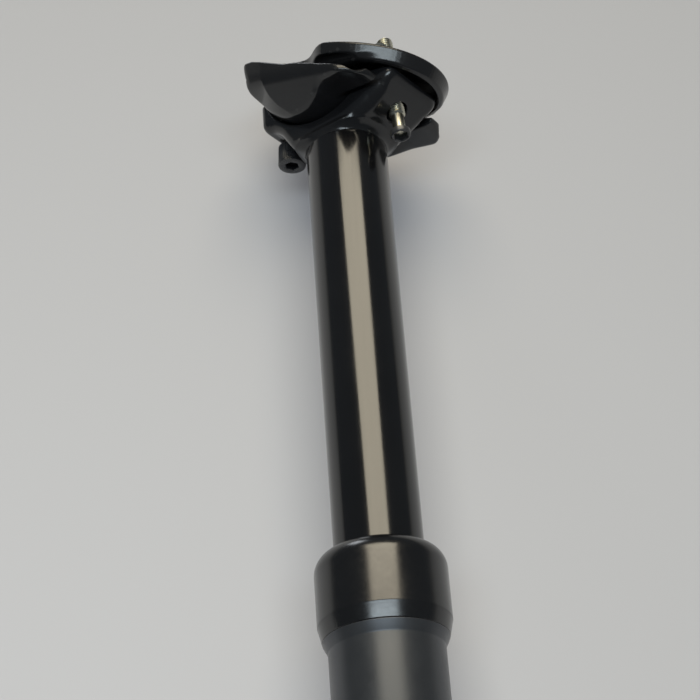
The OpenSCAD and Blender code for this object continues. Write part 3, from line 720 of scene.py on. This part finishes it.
def make_bolts():
    # The front bolt's head takes the black finish, partly a dark head and partly a painted reflection of the dark
    # surroundings that its plated underside mirrors; its shank is plated
    bolt("front_bolt", BOLT_FRONT_X, BOLT_LEAN, under=-31.1, top=5.3, head_r=3.2, head_h=1.9,
         knurled=False, plain=6.3, head_slot="black_steel", shank_slot="steel")
    rear_top = high("rear_bolt", 2) - PIVOT_Z
    bolt("rear_bolt", BOLT_REAR_X, -BOLT_LEAN, under=REAR_SEAT - 0.05, top=rear_top, head_r=4.4, head_h=7.2,
         knurled=True, plain=4.0, head_slot="black_steel", shank_slot="black_steel")


# Camera, floor and light, in metres
FOCAL_PX = 1811.4
FRAME_PX = 700
SENSOR = 36.0
CAMERA_TURN = math.radians(36)
CAMERA_RISE = math.radians(-29.83)
CAMERA_ROLL = math.radians(-4.43)
CAMERA_FAR = 0.5271
TARGET_SIDE = -0.0037
TARGET_Z = 0.09286


def direction(turn, rise):
    """From the post towards a place to its front, turned about the post and raised."""
    return Vector((math.sin(turn) * math.cos(rise), -math.cos(turn) * math.cos(rise), math.sin(rise)))


def make_camera():
    back = direction(CAMERA_TURN, CAMERA_RISE)
    right = (-back).cross(Vector((0, 0, 1))).normalized()
    up = right.cross(-back)
    rolled_right = math.cos(CAMERA_ROLL) * right + math.sin(CAMERA_ROLL) * up
    rolled_up = -math.sin(CAMERA_ROLL) * right + math.cos(CAMERA_ROLL) * up
    spot = Vector((0, 0, TARGET_Z)) + TARGET_SIDE * right + back * CAMERA_FAR
    data = bpy.data.cameras.new("camera")
    data.sensor_width = SENSOR
    data.lens = FOCAL_PX * SENSOR / FRAME_PX
    data.clip_start = 0.01
    camera = bpy.data.objects.new("camera", data)
    turn = Matrix((rolled_right, rolled_up, back)).transposed().to_4x4()
    camera.matrix_world = Matrix.Translation(spot) @ turn
    bpy.context.scene.collection.objects.link(camera)
    bpy.context.scene.camera = camera


FLOOR_BEHIND = 0.034
FLOOR_REACH = 6.0
# The painted pool of light on the floor, a paler round patch, and its colours and painted glow from the rim to the
# middle
PAINTED_POOL_SCALE = (1.1, 1.1, 1.1)
PAINTED_POOL_SHIFT = (0.20, 0.0, 0.10)
PAINTED_POOL_FULL = 0.85
FLOOR_TONES_AND_PAINTED_POOL = ((0.15, 0.15, 0.155), (0.42, 0.42, 0.44))
FLOOR_PAINTED_GLOWS = ((0.05, 0.05, 0.05), (0.13, 0.13, 0.135))


def make_floor():
    """The pale table that the post lies on, with a painted pool of light and a painted glow; it is clear from
    behind, so that no view is blocked.
    """
    facing = direction(CAMERA_TURN, 0)
    along = Vector((0, 0, 1)).cross(facing)
    corners = [-facing * FLOOR_BEHIND + along * (a * FLOOR_REACH) + Vector((0, 0, b * FLOOR_REACH))
               for a, b in ((-1, -1), (1, -1), (1, 1), (-1, 1))]
    mesh = bpy.data.meshes.new("floor")
    mesh.from_pydata(corners, [], [(0, 1, 2, 3)])
    n = Nodes("floor_pale")
    spread = {"Location": PAINTED_POOL_SHIFT, "Scale": PAINTED_POOL_SCALE}
    middle = n.add("Mapping", spread, {"Vector": n.place}).outputs[0]
    # Painted pool of light: the floor's colour runs from a darker rim to a paler middle
    painted_pool = n.add("TexGradient", links={"Vector": middle}, gradient_type="SPHERICAL").outputs["Fac"]
    share = n.ramp(painted_pool, 0.0, PAINTED_POOL_FULL, 0, 1)
    tone = n.mix(share, *FLOOR_TONES_AND_PAINTED_POOL)
    # Painted glow: the floor emits light of its own, paler in the pool, which weakens the shadows on it
    painted_glow = n.mix(share, *FLOOR_PAINTED_GLOWS)
    n.set(Base_Color=tone, Roughness=0.7, Specular_IOR_Level=0.2,
          Emission_Color=painted_glow, Emission_Strength=1.0)
    clear = n.add("BsdfTransparent").outputs[0]
    pick = n.add("MixShader", links={0: n.add("NewGeometry").outputs["Backfacing"],
                                     1: n.shader.outputs[0], 2: clear}).outputs[0]
    n.tree.links.new(pick, n.tree.nodes["Material Output"].inputs["Surface"])
    mesh.materials.append(n.material)
    floor = bpy.data.objects.new("floor", mesh)
    bpy.context.scene.collection.objects.link(floor)


LAMP_FAR = 2.4
WORLD_COLOUR = (0.8, 0.9, 1.0, 1)
WORLD_STRENGTH = 0.12


def lamp(name, turn_deg, rise_deg, wide, tall, power, colour):
    """A soft panel that faces the middle of the post."""
    way = direction(math.radians(turn_deg), math.radians(rise_deg))
    data = bpy.data.lights.new(name, "AREA")
    data.shape = "RECTANGLE"
    data.size = wide
    data.size_y = tall
    data.energy = power
    data.color = colour
    made = bpy.data.objects.new(name, data)
    made.location = Vector((0, 0, TARGET_Z)) + way * LAMP_FAR
    made.rotation_euler = way.to_track_quat("Z", "Y").to_euler()
    bpy.context.scene.collection.objects.link(made)


def make_light():
    lamp("window", 40, 31, wide=2.0, tall=1.4, power=48, colour=(1.0, 0.90, 0.70))
    lamp("room", 36, -13, wide=2.0, tall=0.65, power=28, colour=(0.82, 0.94, 1.0))
    lamp("ceiling", -45, 66, wide=1.2, tall=0.6, power=10, colour=(0.92, 0.96, 1.0))
    world = bpy.data.worlds.new("room")
    world.use_nodes = True
    back = world.node_tree.nodes["Background"]
    back.inputs["Color"].default_value = WORLD_COLOUR
    back.inputs["Strength"].default_value = WORLD_STRENGTH
    bpy.context.scene.world = world
    bpy.context.scene.view_settings.view_transform = "Standard"


dress_nodes()
make_tubes()
make_collar()
make_forgings()
make_bolts()
make_camera()
make_floor()
make_light()
